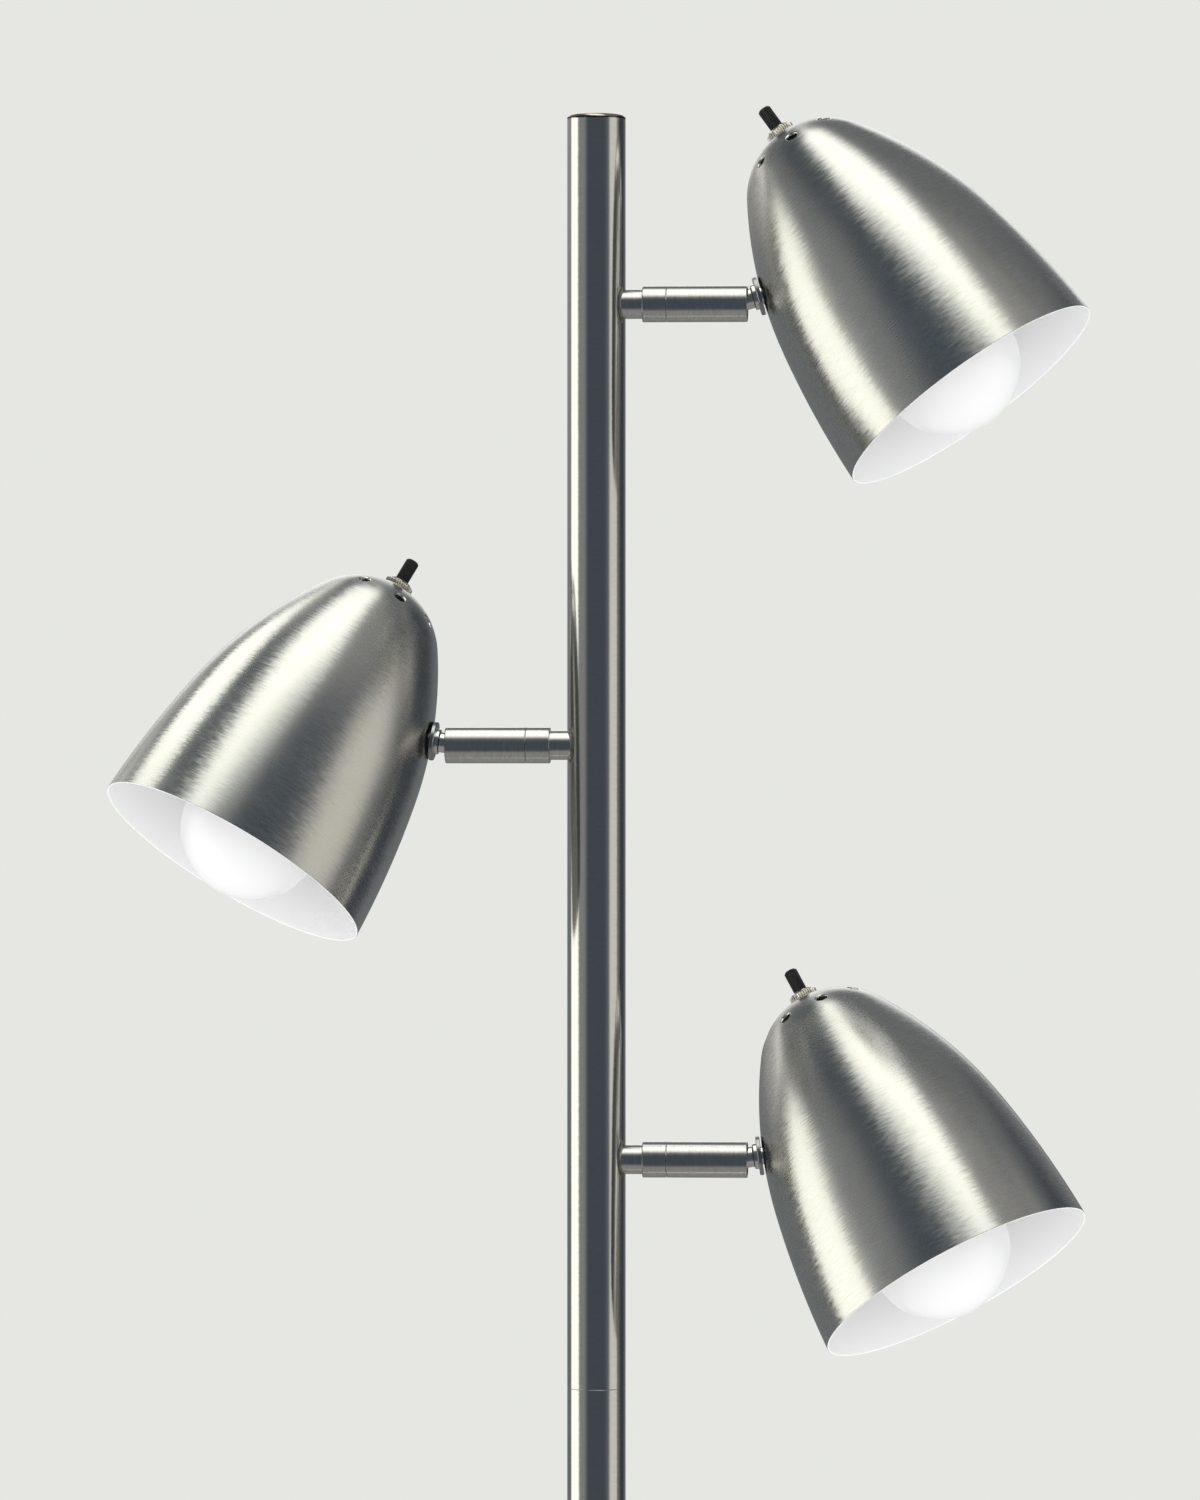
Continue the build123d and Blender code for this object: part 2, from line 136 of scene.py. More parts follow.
SHADE_LENGTH = 144.0
SHADE_WALL = 0.8
CROWN_R = 35.3            # crown, shoulder and skirt are tangent arcs
CROWN_END = math.radians(32.7)
SHOULDER_R = 183.7
SHOULDER_END = math.radians(11.05)
SKIRT_R = 422.0
CROWN_HOLE_R = 5.05
RIM_EDGE = 0.32
WALL_STEPS = (8, 14, 34)  # faces along each arc below the vents
CROWN_STEPS = 8           # faces from the crown's hole to the vents

VENTS = 8
VENT_R = 2.5
VENT_STATION = 9.1
VENT_LIP = 0.8            # rolled edge round each vent
VENT_LIP_STEPS = 5
VENT_BAND = math.radians(6.2)         # half the width of the band that holds the vents
VENT_TURNS = {1: 180.0, 2: 202.5, 3: 169.0}
SECTOR_STEPS = 18         # faces along one vent's share of the crown
BAND_STEPS = 8
SKIRT_SHARES = (0.0, 0.08, 0.2, 0.38, 0.62, 1.0)   # rows of faces from a vent to the band's border

BUSHING_R = 5.0
BUSHING_BORE_R = 2.05
BUSHING_TOP = -3.2
BUSHING_END = 8.0
BUSHING_CHAMFER = 0.3
THREAD_PITCH = 0.75
THREAD_DEPTH = 0.28
THREAD_ROWS = 28
THREAD_ROW = THREAD_PITCH / 6
RING_NUT_R = 6.45
RING_NUT_TOP = -2.24
RING_NUT_SEAT = 0.36
RING_NUT_CHAMFER = (0.45, 0.35)       # across and along
RING_NUT_TEETH = 34
RING_NUT_GROOVE = 0.34
KNOB_R = 3.0
KNOB_START = -3.5
KNOB_END = -14.1
KNOB_EDGE = 0.7
KNOB_RIBS = 20
KNOB_GROOVE = 0.26
KNOB_SHAFT_R = 2.0
KNOB_SHAFT_END = 11.5
RIB_FACES = 8             # round the turn, for each rib
RIB_REACH = 0.3           # grooves start this far inside the outer radius
RIB_SHARPNESS = 1.5

HOLDER_BORE_R = 5.1
HOLDER_BOSS_R = 7.2
HOLDER_BOSS_TOP = (1.2, 1.6)          # at the bore and at the boss's edge
HOLDER_R = 15.0
HOLDER_TOP = 4.8
CUP_R = 18.5
CUP_START = 38.0
CUP_CONE = 4.0
CUP_END = 76.0
CUP_EDGE = 1.0
CUP_BORE_R = 14.05
CUP_FLOOR = 47.3

GLOBE_R = 31.0
GLOBE_WALL = 1.2
GLOBE_STATION = 126.8
GLOBE_CONE = math.radians(25.0)
GLOBE_STEPS = 40
LAMP_NECK = (17.0, 89.9)
LAMP_TIP = 47.8
LAMP_TIP_R = 4.0
LAMP_TIP_HEIGHT = 2.0
LAMP_SCREW_R = 13.1
LAMP_SCREW_START = 6.5    # from the tip
LAMP_SKIRT_R = 14.0
LAMP_SKIRT_START = 29.0   # from the tip


# ---------------- outlines
def rounded(corners, closed=False, steps=4):
    """Stations (radius, height, normal before, normal after) of an outline with rounded corners.

    A corner is (radius, height) or (radius, height, edge radius). The outside is on the right
    of the way along it."""
    def direction(first, last):
        return (Vector(last[:2]) - Vector(first[:2])).normalized()

    stations, count = [], len(corners)
    for i, corner in enumerate(corners):
        here = Vector(corner[:2])
        edge = corner[2] if len(corner) > 2 else 0.0
        before = direction(corners[i - 1], corner) if closed or i else None
        after = direction(corner, corners[(i + 1) % count]) if closed or i < count - 1 else None
        before, after = before or after, after or before
        normal_in, normal_out = Vector((before.y, -before.x)), Vector((after.y, -after.x))
        turn = math.atan2(before.cross(after), before.dot(after))
        if not edge or abs(turn) < 1e-4:
            stations.append((here.x, here.y, normal_in, normal_out))
            continue
        bend = math.copysign(1, turn)
        start = here - before * edge * math.tan(abs(turn) / 2)
        centre = start - normal_in * edge * bend
        for step in range(steps + 1):
            normal = Matrix.Rotation(turn * step / steps, 2) @ normal_in
            point = centre + normal * edge * bend
            stations.append((point.x, point.y, normal, normal))
    if closed:
        stations.append(stations[0])
    return stations


def arc(centre, radius, first, last, steps, bend=1):
    """Stations along an arc between two angles; bend is -1 where the outside is at its centre."""
    stations = []
    for step in range(steps + 1):
        angle = first + (last - first) * step / steps
        normal = Vector((math.cos(angle), math.sin(angle)))
        stations.append((centre[0] + radius * normal.x, centre[1] + radius * normal.y,
                         normal * bend, normal * bend))
    return stations


def hollow_arc(first, middle, last, steps):
    """Stations along the concave arc through three points."""
    (ax, ay), (bx, by), (cx, cy) = first, middle, last
    det = 2 * (ax * (by - cy) + bx * (cy - ay) + cx * (ay - by))
    a, b, c = ax * ax + ay * ay, bx * bx + by * by, cx * cx + cy * cy
    centre = ((a * (by - cy) + b * (cy - ay) + c * (ay - by)) / det,
              (a * (cx - bx) + b * (ax - cx) + c * (bx - ax)) / det)
    radius = math.hypot(ax - centre[0], ay - centre[1])
    start, end = (math.atan2(y - centre[1], x - centre[0]) % math.tau for x, y in (first, last))
    return arc(centre, radius, start, end, steps, bend=-1)


# ---------------- meshes
class Skin:
    """Faces with a normal at each corner, in millimetres in the piece's own frame."""

    def __init__(self):
        self.points, self.index = [], {}
        self.faces, self.normals, self.maps, self.inks = [], [], [], []

    def vertex(self, point):
        key = tuple(round(value, 4) for value in point)
        if key not in self.index:
            self.index[key] = len(self.points)
            self.points.append(point)
        return self.index[key]

    def face(self, corners, ink=0):
        """corners are (point, normal, (way along the outline, turn)) and go round from outside."""
        rows, seen = [], set()
        for point, normal, spot in corners:
            vertex = self.vertex(point)
            if vertex not in seen:
                seen.add(vertex)
                rows.append((vertex, normal, spot))
        if len(rows) > 2:
            self.faces.append([row[0] for row in rows])
            self.normals.extend(row[1] for row in rows)
            self.maps.extend(row[2] for row in rows)
            self.inks.append(ink)

    def revolve(self, outline, segments, ink=0, shape=None, first_turn=0.0):
        """Turns an outline round Z; shape may move a point, given radius, height and angle."""
        way, ways = 0.0, [0.0]
        for here, there in zip(outline, outline[1:]):
            way += math.hypot(there[0] - here[0], there[1] - here[1])
            ways.append(way)

        def corner(i, j, normal):
            turn = first_turn + math.tau * j / segments
            radius, height = outline[i][:2]
            if shape:
                radius, height = shape(radius, height, turn)
            spin = first_turn + math.tau * (j % segments) / segments
            c, s = math.cos(spin), math.sin(spin)
            return ((radius * c, radius * s, height), (normal.x * c, normal.x * s, normal.y),
                    (ways[i], turn * POLE_R))

        for i in range(len(outline) - 1):
            if ways[i + 1] - ways[i] < 1e-6:
                continue
            before, after = outline[i][3], outline[i + 1][2]
            for j in range(segments):
                self.face([corner(i, j, before), corner(i, j + 1, before),
                           corner(i + 1, j + 1, after), corner(i + 1, j, after)], ink)

    def piece(self, name, place, materials, body, slot, replaced=(), crease=None):
        """The object: its place is in its vertices, and "own" keeps the millimetres."""
        world = place @ Matrix.Scale(MM, 4)
        turn = place.to_3x3()
        mesh = bpy.data.meshes.new(name)
        mesh.from_pydata([world @ Vector(point) for point in self.points], [], self.faces)
        own = mesh.attributes.new("own", "FLOAT_VECTOR", "POINT")
        own.data.foreach_set("vector", [value for point in self.points for value in point])
        layer = mesh.uv_layers.new(name="turned")
        layer.data.foreach_set("uv", [value for spot in self.maps for value in spot])
        for skin in materials:
            mesh.materials.append(skin)
        mesh.polygons.foreach_set("material_index", self.inks)
        mesh.shade_smooth()
        if crease is None:
            mesh.normals_split_custom_set([(turn @ Vector(n)).normalized() for n in self.normals])
        else:
            mesh.set_sharp_from_angle(angle=math.radians(crease))
        made = bpy.data.objects.new(name, mesh)
        bpy.context.scene.collection.objects.link(made)
        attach(made, body)
        if replaced:
            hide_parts(*replaced)
        return made


def turned(name, outline, place, skin, body, slot, replaced=(), segments=96, shape=None, crease=None):
    """A turned piece with one material."""
    mesh = Skin()
    mesh.revolve(outline, segments, shape=shape)
    return mesh.piece(name, place, [skin], body, slot, replaced, crease)


def numbered(head, name, outline, place, skin, slot, node=None, kind="head", **options):
    """A turned piece of one head, arm or knob, with the number of its body and its node."""
    number = head.number
    replaced = [f"{node}_{number}"] if node else []
    turned(f"{name}_{number}", outline, place, skin, f"{kind}_{number}", slot, replaced, **options)


def axes(origin, x, y, z):
    """A frame in metres from its origin and its three directions."""
    return Matrix.Translation(origin) @ Matrix((x, y, z)).transposed().to_4x4()


# ---------------- materials
NICKEL = (0.66, 0.645, 0.61)
CLOUDS = 0.06             # uneven polish, in changes for each millimetre
SPECKS = 1.7              # handling marks, in changes for each millimetre
STREAK_TONE = 0.75        # the streaks' share of the tone; the rest is the clouds'
TONE_RANGE = (0.3, 0.7)   # part of the noise that spans the tone
ROUGH_SHARES = (2.0, 1.0, 0.4)        # of streaks, clouds and specks
BRUSH_DEPTH = 0.02        # of the brushed lines, in millimetres
GLOSS_SPREAD = 0.15       # of moulded matter, either way


class Graph:
    """Short calls for the nodes of a material or world."""

    def __init__(self, tree):
        self.tree = tree
        tree.nodes.clear()

    def add(self, kind, inputs=(), **settings):
        node = self.tree.nodes.new(kind)
        for name, value in settings.items():
            setattr(node, name, value)
        for key, value in dict(inputs).items():
            self.put(node.inputs[key], value)
        return node

    def put(self, socket, value):
        if isinstance(value, bpy.types.NodeSocket):
            self.tree.links.new(value, socket)
        else:
            socket.default_value = value

    def math(self, operation, *values):
        node = self.add("ShaderNodeMath", operation=operation)
        for socket, value in zip(node.inputs, values):
            self.put(socket, value)
        return node.outputs[0]

    def plus(self, first, second):
        return self.math("ADD", first, second)

    def times(self, first, second):
        return self.math("MULTIPLY", first, second)

    def vector(self, operation, first, second=None, scale=None):
        node = self.add("ShaderNodeVectorMath", operation=operation)
        self.put(node.inputs[0], first)
        if second is not None:
            self.put(node.inputs[1], second)
        if scale is not None:
            self.put(node.inputs["Scale"], scale)
        return node.outputs[0]

    def length(self, vector):
        return self.add("ShaderNodeVectorMath", {0: vector}, operation="LENGTH").outputs["Value"]

    def noise(self, where, scale, detail=2.0, roughness=0.5):
        node = self.add("ShaderNodeTexNoise", {"Vector": where, "Scale": scale, "Detail": detail,
                                               "Roughness": roughness})
        return node.outputs[0]

    def between(self, value, low, high, start=0.0, end=1.0, **settings):
        """low where the value is at its start and high where it is at its end."""
        node = self.add("ShaderNodeMapRange", {"Value": value, "From Min": start, "From Max": end,
                                               "To Min": low, "To Max": high}, **settings)
        return node.outputs[0]

    def step(self, value, start, end):
        """0 before start and 1 after end, with a soft change."""
        return self.between(value, 0.0, 1.0, start, end, interpolation_type="SMOOTHSTEP")

    def blend(self, share, low, high):
        node = self.add("ShaderNodeMix", data_type="RGBA")
        self.put(node.inputs[0], share)
        self.put(node.inputs[6], low)
        self.put(node.inputs[7], high)
        return node.outputs[2]


def shades_of(colour, spread):
    """A darker and a lighter version of a colour."""
    return [tuple(channel * factor for channel in colour) + (1.0,) for factor in (1 - spread, 1 + spread)]


def surface(name):
    """A new material, its graph and its shader."""
    made = bpy.data.materials.new(name)
    made.use_nodes = True
    graph = Graph(made.node_tree)
    shader = graph.add("ShaderNodeBsdfPrincipled")
    graph.add("ShaderNodeOutputMaterial", {0: shader.outputs[0]})
    return made, graph, shader


def own_place(graph, drawn):
    """Millimetres in the piece's own frame, or from the floor's centre for a CAD node."""
    if drawn:
        return graph.add("ShaderNodeAttribute", attribute_name="own").outputs["Vector"]
    spot = graph.add("ShaderNodeTexCoord").outputs["Object"]
    return graph.vector("SCALE", spot, scale=1 / MM)


def rings(graph, where, fine, slow):
    """Noise in fine rings round the Z axis, on a side or a face; fine and slow are changes per
    millimetre across and along the rings."""
    parts = graph.add("ShaderNodeSeparateXYZ", {0: where}).outputs
    flat = graph.add("ShaderNodeCombineXYZ", {0: parts[0], 1: parts[1]}).outputs[0]
    across = graph.times(graph.plus(parts[2], graph.length(flat)), fine)
    rise = graph.add("ShaderNodeCombineXYZ", {2: across}).outputs[0]
    return graph.noise(graph.vector("ADD", graph.vector("SCALE", flat, scale=slow), rise), 1.0, detail=3.0,
                       roughness=0.55)


def metal(name, colour, roughness, stretch=0.0, brush=0.05, rough_brush=0.04, fine=2.6, slow=0.25,
          bump=0.02, lean=0.0, drawn=True):
    """Metal with brushed rings, uneven polish and faint handling marks; lean turns each brushed
    line's gloss a little to one side."""
    made, graph, shader = surface(name)
    where = own_place(graph, drawn)
    streaks = rings(graph, where, fine, slow)
    cloud = graph.noise(where, CLOUDS, detail=3.0)
    specks = graph.noise(where, SPECKS, detail=1.0)

    low, high = shades_of(colour, brush)
    tone = graph.plus(graph.times(streaks, STREAK_TONE), graph.times(cloud, 1 - STREAK_TONE))
    tone = graph.between(tone, 0.0, 1.0, *TONE_RANGE)
    graph.put(shader.inputs["Base Color"], graph.blend(tone, low, high))

    uneven = roughness - rough_brush * sum(ROUGH_SHARES) / 2
    for noise, share in zip((streaks, cloud, specks), ROUGH_SHARES):
        uneven = graph.plus(graph.times(noise, rough_brush * share), uneven)
    graph.put(shader.inputs["Roughness"], uneven)
    shader.inputs["Metallic"].default_value = 1.0

    height = graph.add("ShaderNodeBump", {"Height": streaks, "Strength": bump, "Distance": BRUSH_DEPTH * MM})
    normal = height.outputs[0]
    if stretch:
        shader.inputs["Anisotropic"].default_value = stretch
        tangent = graph.add("ShaderNodeTangent", direction_type="UV_MAP", uv_map="turned").outputs[0]
        graph.put(shader.inputs["Tangent"], tangent)
        aside = graph.vector("CROSS_PRODUCT", normal, tangent)
        aslant = graph.times(graph.math("SUBTRACT", streaks, 0.5), lean)
        leaned = graph.vector("ADD", normal, graph.vector("SCALE", aside, scale=aslant))
        normal = graph.vector("NORMALIZE", leaned)
    graph.put(shader.inputs["Normal"], normal)
    return made


def plastic(name, colour, roughness, spread=0.12, grain=1.4, bump=0.1, depth=0.05, sheen=0.0, coat=0.0,
            drawn=True):
    """Moulded, foamed or painted matter with fine grain and slightly uneven gloss."""
    made, graph, shader = surface(name)
    where = own_place(graph, drawn)
    fine = graph.noise(where, grain, detail=3.0)
    cloud = graph.noise(where, grain * CLOUDS, detail=2.0)
    low, high = shades_of(colour, spread)
    graph.put(shader.inputs["Base Color"], graph.blend(cloud, low, high))
    dull, glossy = roughness * (1 + GLOSS_SPREAD), roughness * (1 - GLOSS_SPREAD)
    graph.put(shader.inputs["Roughness"], graph.between(fine, glossy, dull))
    shader.inputs["Sheen Weight"].default_value = sheen
    shader.inputs["Coat Weight"].default_value = coat
    height = graph.add("ShaderNodeBump", {"Height": fine, "Strength": bump, "Distance": depth * MM})
    graph.put(shader.inputs["Normal"], height.outputs[0])
    return made


shade_nickel = metal("shade_nickel", NICKEL, 0.27, stretch=0.65, brush=0.1, rough_brush=0.08, fine=1.25,
                     slow=0.18, lean=0.11)
pole_nickel = metal("pole_nickel", NICKEL, 0.14, stretch=0.3, rough_brush=0.03, fine=1.6, lean=0.04)
arm_nickel = metal("arm_nickel", NICKEL, 0.2, stretch=0.5, brush=0.1, fine=1.2, lean=0.03)
flange_nickel = metal("flange_nickel", (0.42, 0.42, 0.42), 0.24)
cap_nickel = metal("cap_nickel", (0.62, 0.50, 0.40), 0.18)
bright_nickel = metal("bright_nickel", (0.78, 0.76, 0.72), 0.1, brush=0.03, rough_brush=0.03)
knurled_nickel = metal("knurled_nickel", (0.93, 0.86, 0.74), 0.2)
white_enamel = plastic("white_enamel", (0.91, 0.91, 0.91), 0.38, spread=0.015, grain=0.9, bump=0.04,
                       coat=0.15)
opal = plastic("opal", (0.755, 0.755, 0.748), 0.3, spread=0.01, grain=0.5, bump=0.01, sheen=0.35)
lamp_white = plastic("lamp_white", (0.86, 0.86, 0.84), 0.4, spread=0.02)
ribbed_black = plastic("ribbed_black", (0.008, 0.008, 0.008), 0.48, spread=0.2, grain=2.0)
rubber = plastic("rubber", (0.012, 0.012, 0.012), 0.6, spread=0.2, grain=2.2, bump=0.25)
phenolic = plastic("phenolic", (0.025, 0.024, 0.023), 0.45, spread=0.25, grain=1.1, bump=0.12)
foam = plastic("foam", (0.03, 0.03, 0.03), 0.9, spread=0.25, grain=1.6, bump=0.7, depth=0.3, sheen=0.2)
cast_iron = plastic("cast_iron", (0.10, 0.10, 0.105), 0.65, spread=0.2, grain=0.7, bump=0.6, depth=0.3,
                    drawn=False)
zinc = metal("zinc", (0.70, 0.70, 0.68), 0.32, brush=0.08, rough_brush=0.08, drawn=False)
nylon = plastic("nylon", (0.80, 0.79, 0.74), 0.5, spread=0.03, drawn=False)
brass = metal("brass", (0.78, 0.60, 0.30), 0.3, brush=0.08, rough_brush=0.08, drawn=False)


# ---------------- places
def heights(name):
    """The lowest and the highest point of a node, in millimetres over the floor."""
    low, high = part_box(name)
    return low.z / MM, high.z / MM


class Head:
    """The frames of one arm and its shade, read from the joints."""

    def __init__(self, number):
        swivel, tilt, knob = (joints[f"{kind}_{number}"] for kind in ("swivel", "tilt", "knob_turn"))
        start, self.pivot = Vector(swivel["pos_m"]), Vector(tilt["pos_m"])
        side = math.copysign(1.0, start.x)
        self.number = number
        along, up = Vector((side, 0, 0)), Vector((0, 0, 1))
        self.arm = axes(Vector((0, 0, start.z)), up, along.cross(up), along)
        self.sleeve_start = abs(start.x) / MM
        self.sleeve_end = max(abs(corner.x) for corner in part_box(f"arm_sleeve_{number}")) / MM
        down = -Vector(knob["axis"]).normalized()
        across = Vector(tilt["axis"]).normalized()
        away = across.cross(down)
        self.shade = axes(Vector(knob["pos_m"]), away, across, down)
        neck = down * math.sin(NECK_TO_WALL) + away * math.cos(NECK_TO_WALL)
        self.neck = axes(self.pivot, across.cross(neck), across, neck)


heads = [Head(number) for number in HEADS]
upright = Matrix.Identity(4)


# ---------------- base
def make_cover_and_pad():
    pad_top = heights("base_pad")[1]
    outline = rounded([(BASE_R - COVER_WALL, pad_top), (BASE_R, pad_top, EASED_EDGE),
                       (BASE_R, COVER_RIM, COVER_EDGE), (COVER_SEAT_R, COVER_TOP, COVER_TURN),
                       (NIPPLE_R, COVER_TOP), (NIPPLE_R, COVER_TOP - COVER_WALL),
                       (COVER_SEAT_R, COVER_TOP - COVER_WALL, COVER_TURN),
                       (BASE_R - COVER_WALL, COVER_RIM - COVER_WALL, COVER_EDGE - COVER_WALL)],
                      closed=True, steps=10)
    turned("cover", outline, upright, shade_nickel, "root", "brushed_nickel", ["base_cover"], segments=256)
    outline = rounded([(0, 0), (PAD_R, 0, EASED_EDGE), (PAD_R, pad_top, EASED_EDGE), (0, pad_top)])
    turned("pad", outline, upright, foam, "root", "foam_pad", ["base_pad"], segments=192)


def make_foot_collar():
    bore, top = POLE_R + SEAT_GAP, COVER_TOP + FOOT_HEIGHT
    foot, neck = (FOOT_R, COVER_TOP + FOOT_LIP), (FOOT_TOP_R, top - FOOT_LIP)
    middle = (neck[0] + FOOT_HOLLOW * (foot[0] - neck[0]), foot[1] + FOOT_HOLLOW * (neck[1] - foot[1]))
    outline = rounded([(bore, COVER_TOP), (FOOT_R, COVER_TOP, EASED_EDGE), foot])
    outline += hollow_arc(foot, middle, neck, 12)
    outline += rounded([neck, (FOOT_TOP_R, top, SOFT_EDGE), (bore, top, FINE_EDGE), (bore, COVER_TOP)])
    turned("foot_collar", outline, upright, pole_nickel, "root", "brushed_nickel", ["pole_foot_collar"])


def make_inlet():
    start, rear = BASE_R - INLET_BARREL, BASE_R + SEAT_GAP
    end = rear + INLET_FLANGE
    middle = Vector((0, 0, INLET_HEIGHT * MM))
    backward = axes(middle, Vector((1, 0, 0)), Vector((0, 0, -1)), Vector((0, 1, 0)))
    outline = rounded([(INLET_BORE_R, start), (INLET_BARREL_R, start), (INLET_BARREL_R, rear),
                       (INLET_FLANGE_R, rear, FINE_EDGE), (INLET_FLANGE_R, end, ROUND_EDGE),
                       (INLET_BORE_R, end, SOFT_EDGE)], closed=True)
    turned("inlet", outline, backward, rubber, "root", "black_rubber", ["cord_bushing"], segments=64)


# ---------------- pole
def make_pole():
    for name in ("lower_pole", "middle_pole", "upper_pole"):
        start, end = heights(name)
        outline = rounded([(POLE_R - POLE_WALL, start), (POLE_R, start, SEAM_EDGE), (POLE_R, end, SEAM_EDGE),
                           (POLE_R - POLE_WALL, end)], closed=True)
        turned(name.replace("pole", "tube"), outline, upright, pole_nickel, "root", "brushed_nickel", [name],
               segments=160)
    seat, top = heights("upper_pole")[1], heights("pole_cap")[1]
    bore, plug_end = CAP_PLUG_R - CAP_PLUG_WALL, seat - CAP_SKIRT
    outline = rounded([(0, seat), (bore, seat), (bore, plug_end), (CAP_PLUG_R, plug_end, FINE_EDGE),
                       (CAP_PLUG_R, seat), (POLE_R, seat, CRISP_EDGE), (POLE_R, top, CAP_EDGE), (0, top)],
                      steps=8)
    turned("cap", outline, upright, cap_nickel, "root", "bright_nickel", ["pole_cap"], segments=160)


# ---------------- arms
def saddle(radius, height, turn):
    """The inner end of a stub follows the pole."""
    if height:
        return radius, height
    return radius, math.sqrt(POLE_R ** 2 - (radius * math.sin(turn)) ** 2)


def make_arm(head):
    number, start, end = head.number, head.sleeve_start, head.sleeve_end
    collar_start, collar_end, floor = start - COLLAR_LENGTH, start - TURN_SEAM, start + BULKHEAD
    outline = rounded([(NIPPLE_R, 0), (STUB_R, 0), (STUB_R, collar_start), (NIPPLE_R, collar_start)],
                      closed=True)
    turned(f"stub_{number}", outline, head.arm, arm_nickel, "root", "brushed_nickel", shape=saddle)
    outline = rounded([(NIPPLE_R, collar_start), (SLEEVE_R, collar_start, SLEEVE_EDGE),
                       (SLEEVE_R, collar_end, TURN_SEAM_EDGE), (NIPPLE_R, collar_end)], closed=True)
    turned(f"collar_{number}", outline, head.arm, arm_nickel, "root", "brushed_nickel")
    outline = rounded([(NIPPLE_R, start), (SLEEVE_R, start, TURN_SEAM_EDGE), (SLEEVE_R, end, SLEEVE_EDGE),
                       (SLEEVE_BORE_R, end, MOUTH_EDGE), (SLEEVE_BORE_R, floor), (NIPPLE_R, floor)],
                      closed=True)
    numbered(head, "sleeve", outline, head.arm, arm_nickel, "brushed_nickel", "arm_sleeve", kind="arm")


# ---------------- neck
def make_neck(head):
    back, front = math.acos(WIRE_R / BALL_R), math.acos(WAIST_R / BALL_R)
    outline = arc((0, 0), BALL_R, -back, front, 20)
    outline += rounded([(WAIST_R, BALL_R * math.sin(front)), (WAIST_R, NECK_COLLAR_START, WAIST_EDGE),
                        (NECK_COLLAR_R, NECK_COLLAR_START, NECK_COLLAR_EDGE), (NECK_COLLAR_R, FLANGE_START),
                        (NECK_THREAD_R, FLANGE_START), (NECK_THREAD_R, NECK_END, BROKEN_EDGE),
                        (WIRE_R, NECK_END), (WIRE_R, -BALL_R * math.sin(back))])
    numbered(head, "neck", outline, head.neck, bright_nickel, "bright_nickel", "shade_neck")
    outline = rounded([(NECK_THREAD_R, FLANGE_START), (FLANGE_R - FLANGE_BEVEL, FLANGE_START, FINE_EDGE),
                       (FLANGE_R, FLANGE_START + FLANGE_BEVEL, CRISP_EDGE),
                       (FLANGE_R, GASKET_START, FINE_EDGE), (NECK_THREAD_R, GASKET_START)], closed=True)
    numbered(head, "flange", outline, head.neck, flange_nickel, "bright_nickel", "neck_flange")
    to_shade = head.shade.inverted() @ head.neck

    def on_wall(radius, height, turn):
        """The gasket's points lie where a line along the neck meets the shade."""
        low, high = GASKET_START, GASKET_START + GASKET_R
        for _ in range(GASKET_TRIES):
            middle = (low + high) / 2
            spot = Vector((radius * math.cos(turn), radius * math.sin(turn), middle)) * MM
            spot = to_shade @ spot
            outside = math.hypot(spot.x, spot.y) / MM > wall_radius(spot.z / MM)
            low, high = (middle, high) if outside else (low, middle)
        return radius, low

    # A flat ring on the shade, with two sides, stands for the gasket: its thickness isn't drawn.
    inner, outer = (NECK_THREAD_R, GASKET_START), (GASKET_R, GASKET_START)
    outline = rounded([inner, outer, inner])
    numbered(head, "gasket", outline, head.neck, rubber, "black_rubber", "neck_gasket", shape=on_wall)


# ---------------- shade
def shade_arcs(inset=0.0):
    """(centre radius, centre station, arc radius, first and last wall angle) of each arc."""
    arcs, centre_r, station, first = [], 0.0, CROWN_R, math.pi / 2
    for radius, bigger, last in ((CROWN_R, SHOULDER_R, CROWN_END), (SHOULDER_R, SKIRT_R, SHOULDER_END)):
        arcs.append((centre_r, station, radius - inset, first, last))
        centre_r -= (bigger - radius) * math.cos(last)
        station += (bigger - radius) * math.sin(last)
        first = last
    last = math.asin((station - SHADE_LENGTH) / (SKIRT_R - inset))
    arcs.append((centre_r, station, SKIRT_R - inset, first, last))
    return arcs


def wall_radius(station):
    """The shade's outer radius at a station from the crown."""
    for centre_r, centre_s, radius, _, last in shade_arcs():
        angle = math.asin(max(-1.0, min(1.0, (centre_s - station) / radius)))
        if angle >= last:
            break
    return centre_r + radius * math.cos(angle)


def wall_stations(inset, bend, first_angle):
    """Stations of the wall below the vents, from the crown's arc to the rim."""
    stations = []
    for (centre_r, centre_s, radius, first, last), steps in zip(shade_arcs(inset), WALL_STEPS):
        first = min(first, first_angle)
        stations += arc((centre_r, centre_s), radius, -first, -last, steps, bend)
    return stations


def crown_point(inset, polar, turn):
    """A point on the crown's sphere and the direction out of it."""
    out = (math.sin(polar) * math.cos(turn), math.sin(polar) * math.sin(turn), -math.cos(polar))
    radius = CROWN_R - inset
    return (out[0] * radius, out[1] * radius, CROWN_R + out[2] * radius), out


